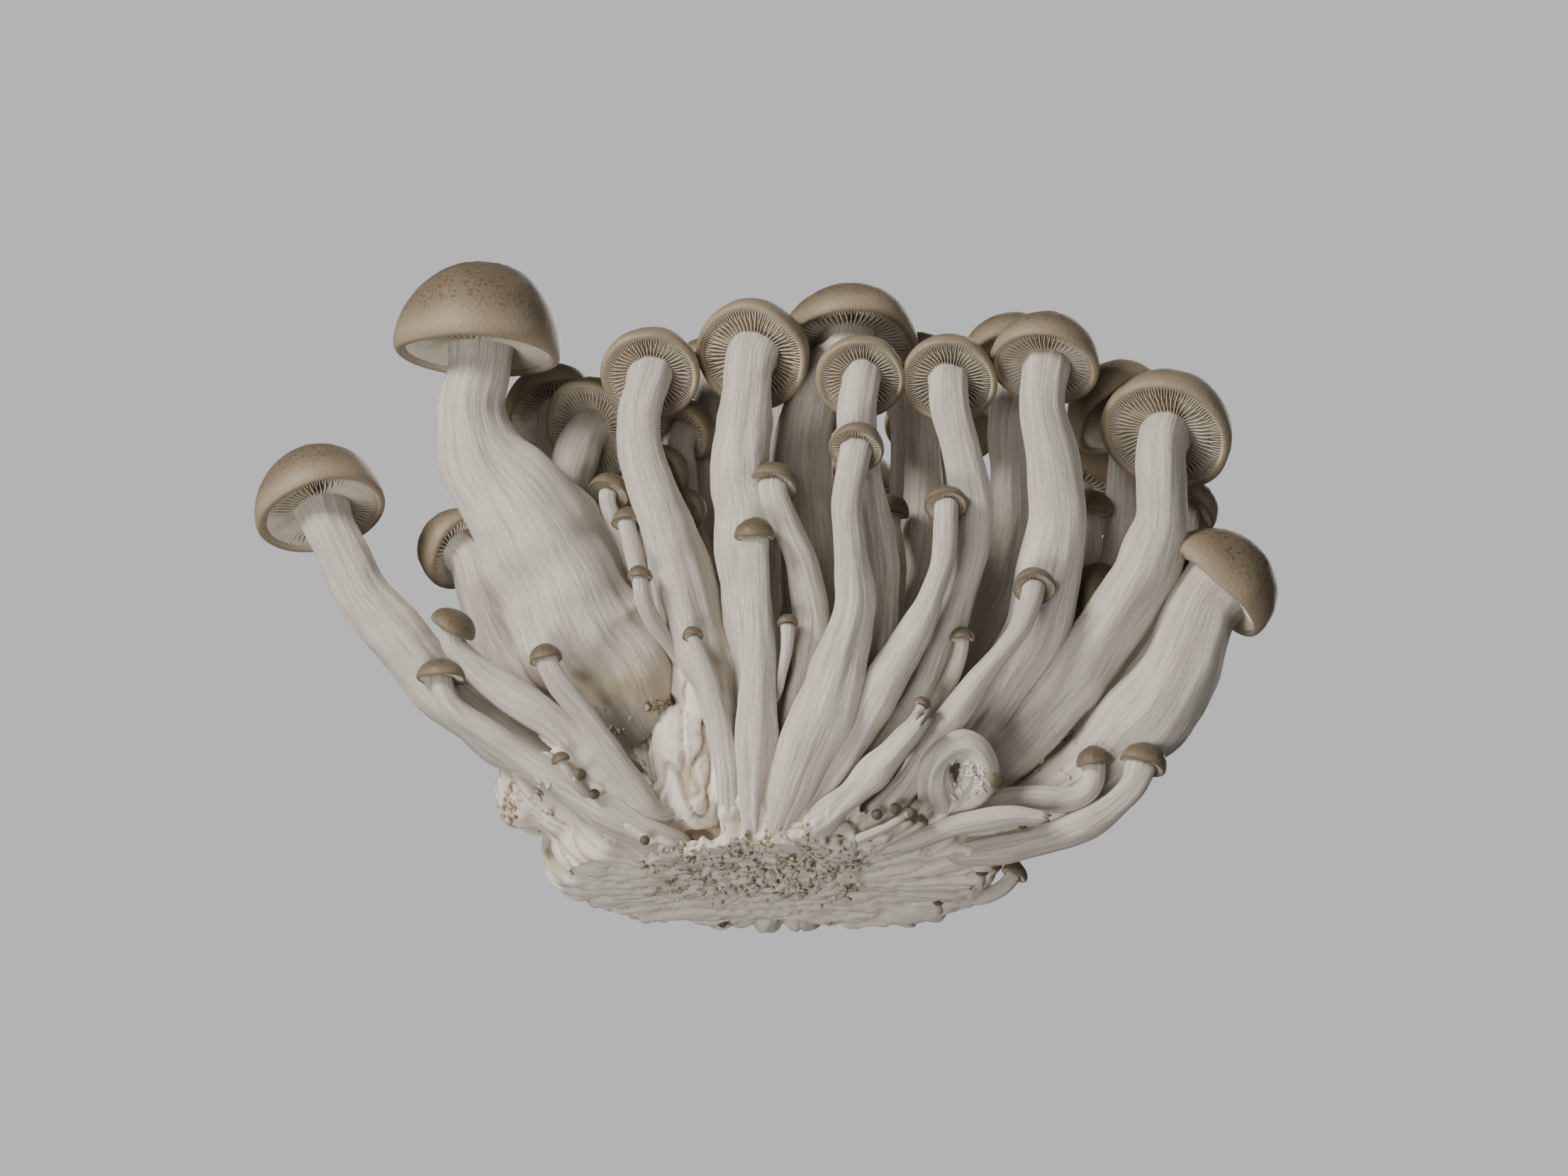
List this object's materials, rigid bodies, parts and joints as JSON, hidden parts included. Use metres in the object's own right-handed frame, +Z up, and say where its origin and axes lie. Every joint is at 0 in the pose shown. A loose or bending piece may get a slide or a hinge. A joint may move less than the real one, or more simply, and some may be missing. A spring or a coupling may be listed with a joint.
{
  "type": "beech mushroom clump",
  "caption": "Clump of brown beech mushrooms: pale bent stems with brown domed caps and cream gills, fanning from one shared foot that is cut flat underneath.",
  "frame": {"origin": "middle of the flat cut face under the foot", "axes": "+Z up out of the foot, X across the widest spread of the fan with +X to the right seen from the front, -Y to the front, the side the gills and the long fan of mushrooms show to"},
  "size_m": [0.1635, 0.0977, 0.0958],
  "materials": {
    "stem_flesh": "matte",
    "foot_threads": "matte",
    "cap_skin": "satin",
    "gill_flesh": "matte"
  },
  "bodies": {
    "root": {"foot": "foot_threads", "slim_front": "stem_flesh", "slim_straight": "stem_flesh", "torn_stub": "stem_flesh", "bowed_right": "stem_flesh", "bowed_left": "stem_flesh", "leaning_right": "stem_flesh", "flared_small": "stem_flesh", "wavy_small": "stem_flesh", "low_left": "stem_flesh", "tilted_left": "stem_flesh", "pin_centre": "stem_flesh", "brown_tip": "stem_flesh", "hook": "stem_flesh", "curl": "stem_flesh", "straw": "stem_flesh", "low_right_inner": "stem_flesh", "low_right": "stem_flesh", "golden_pin": "stem_flesh", "pin_left": "stem_flesh", "pin_right_a": "stem_flesh", "pin_right_b": "stem_flesh", "big_left": "stem_flesh", "left_of_centre": "stem_flesh", "centre": "stem_flesh", "right_of_centre": "stem_flesh", "inner_right": "stem_flesh", "outer_right": "stem_flesh", "far_right": "stem_flesh", "far_left": "stem_flesh", "low_big_right": "stem_flesh", "left_inner": "stem_flesh", "behind_far_left_pair": "stem_flesh", "behind_big_left": "stem_flesh", "tucked_small": "stem_flesh", "tucked_dark": "stem_flesh", "tucked_brown": "stem_flesh", "tucked_gilled": "stem_flesh", "tucked_low_gilled": "stem_flesh", "grey_right": "stem_flesh", "behind_centre_wide": "stem_flesh", "behind_left_dark": "stem_flesh", "behind_left_pale": "stem_flesh", "behind_inner_right": "stem_flesh", "behind_outer_right": "stem_flesh", "behind_far_right": "stem_flesh", "grey_behind": "stem_flesh", "beside_far_right": "stem_flesh", "pebbled_right": "stem_flesh", "olive_right": "stem_flesh", "half_hidden_right": "stem_flesh", "middle_left": "stem_flesh", "middle_centre": "stem_flesh", "middle_right": "stem_flesh", "middle_far_right": "stem_flesh", "back_far_left": "stem_flesh", "back_left": "stem_flesh", "back_right": "stem_flesh", "back_far_right": "stem_flesh"}
  },
  "joints": []
}
